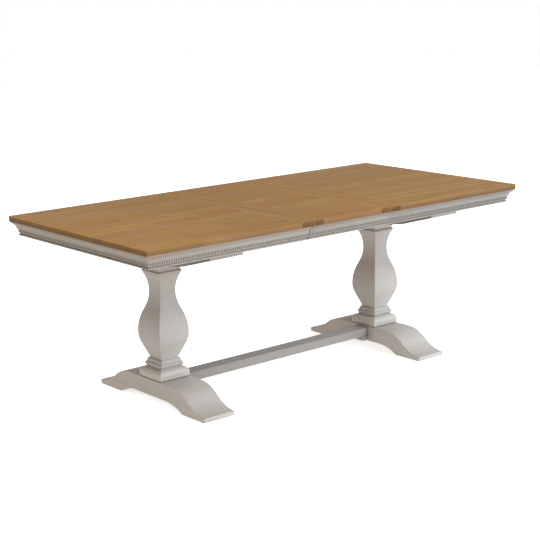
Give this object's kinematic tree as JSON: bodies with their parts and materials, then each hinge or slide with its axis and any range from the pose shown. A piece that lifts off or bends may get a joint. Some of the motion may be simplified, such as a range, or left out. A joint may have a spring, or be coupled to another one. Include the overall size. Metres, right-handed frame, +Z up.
{
  "type": "extending dining table",
  "caption": "Extending pedestal dining table: oak top with drop-in leaf, dentil cornice, square balusters on bracket feet joined by a stretcher.",
  "frame": {"origin": "on the floor under the middle of the extended top", "axes": "+X along the table to its right end, +Y to the back, +Z up"},
  "size_m": [2.11, 0.98, 0.78],
  "materials": {
    "oiled_oak": "oiled, satin",
    "greige_paint": "painted, satin",
    "plain_hardwood": "bare, planed",
    "zinc_steel": "zinc plated",
    "glide_plastic": "moulded"
  },
  "bodies": {
    "base": {"left_foot": "greige_paint", "right_foot": "greige_paint", "left_plinth": "greige_paint", "right_plinth": "greige_paint", "left_baluster": "greige_paint", "right_baluster": "greige_paint", "left_bearer": "greige_paint", "right_bearer": "greige_paint", "front_rail": "plain_hardwood", "back_rail": "plain_hardwood", "rail_spreaders": "plain_hardwood", "stretcher": "greige_paint", "left_stretcher_cleat": "greige_paint", "right_stretcher_cleat": "greige_paint", "stretcher_plates": "zinc_steel", "plate_screws": "zinc_steel", "rail_bolts": "zinc_steel", "tie_rods": "zinc_steel", "tie_rod_nuts": "zinc_steel", "tie_rod_washers": "zinc_steel", "foot_glides": "glide_plastic"},
    "leaf": {"leaf_panel": "oiled_oak", "leaf_left_breadboard": "oiled_oak", "leaf_right_breadboard": "oiled_oak", "leaf_front_apron": "greige_paint", "leaf_back_apron": "greige_paint", "leaf_front_dentils": "greige_paint", "leaf_back_dentils": "greige_paint", "leaf_blocks": "plain_hardwood"},
    "left_half": {"left_top_panel": "oiled_oak", "left_outer_breadboard": "oiled_oak", "left_inner_breadboard": "oiled_oak", "left_leaf_pegs": "plain_hardwood", "left_front_apron": "greige_paint", "left_back_apron": "greige_paint", "left_end_apron": "greige_paint", "left_front_dentils": "greige_paint", "left_back_dentils": "greige_paint", "left_end_dentils": "greige_paint", "left_front_runner": "plain_hardwood", "left_back_runner": "plain_hardwood", "left_runner_stops": "plain_hardwood", "left_corner_blocks": "plain_hardwood", "left_top_screws": "zinc_steel"},
    "right_half": {"right_top_panel": "oiled_oak", "right_outer_breadboard": "oiled_oak", "right_inner_breadboard": "oiled_oak", "right_leaf_pegs": "plain_hardwood", "right_front_apron": "greige_paint", "right_back_apron": "greige_paint", "right_end_apron": "greige_paint", "right_front_dentils": "greige_paint", "right_back_dentils": "greige_paint", "right_end_dentils": "greige_paint", "right_front_runner": "plain_hardwood", "right_back_runner": "plain_hardwood", "right_runner_stops": "plain_hardwood", "right_corner_blocks": "plain_hardwood", "right_top_screws": "zinc_steel"}
  },
  "joints": [
    {"name": "left_half_slide", "type": "slide", "parent": "base", "child": "left_half", "axis": [-1, 0, 0], "range_m": [0, 0.06]},
    {"name": "right_half_slide", "type": "slide", "parent": "base", "child": "right_half", "axis": [1, 0, 0], "range_m": [0, 0.06]},
    {"name": "leaf_lift", "type": "slide", "parent": "base", "child": "leaf", "axis": [0, 0, 1], "range_m": [0, 0.15]}
  ]
}
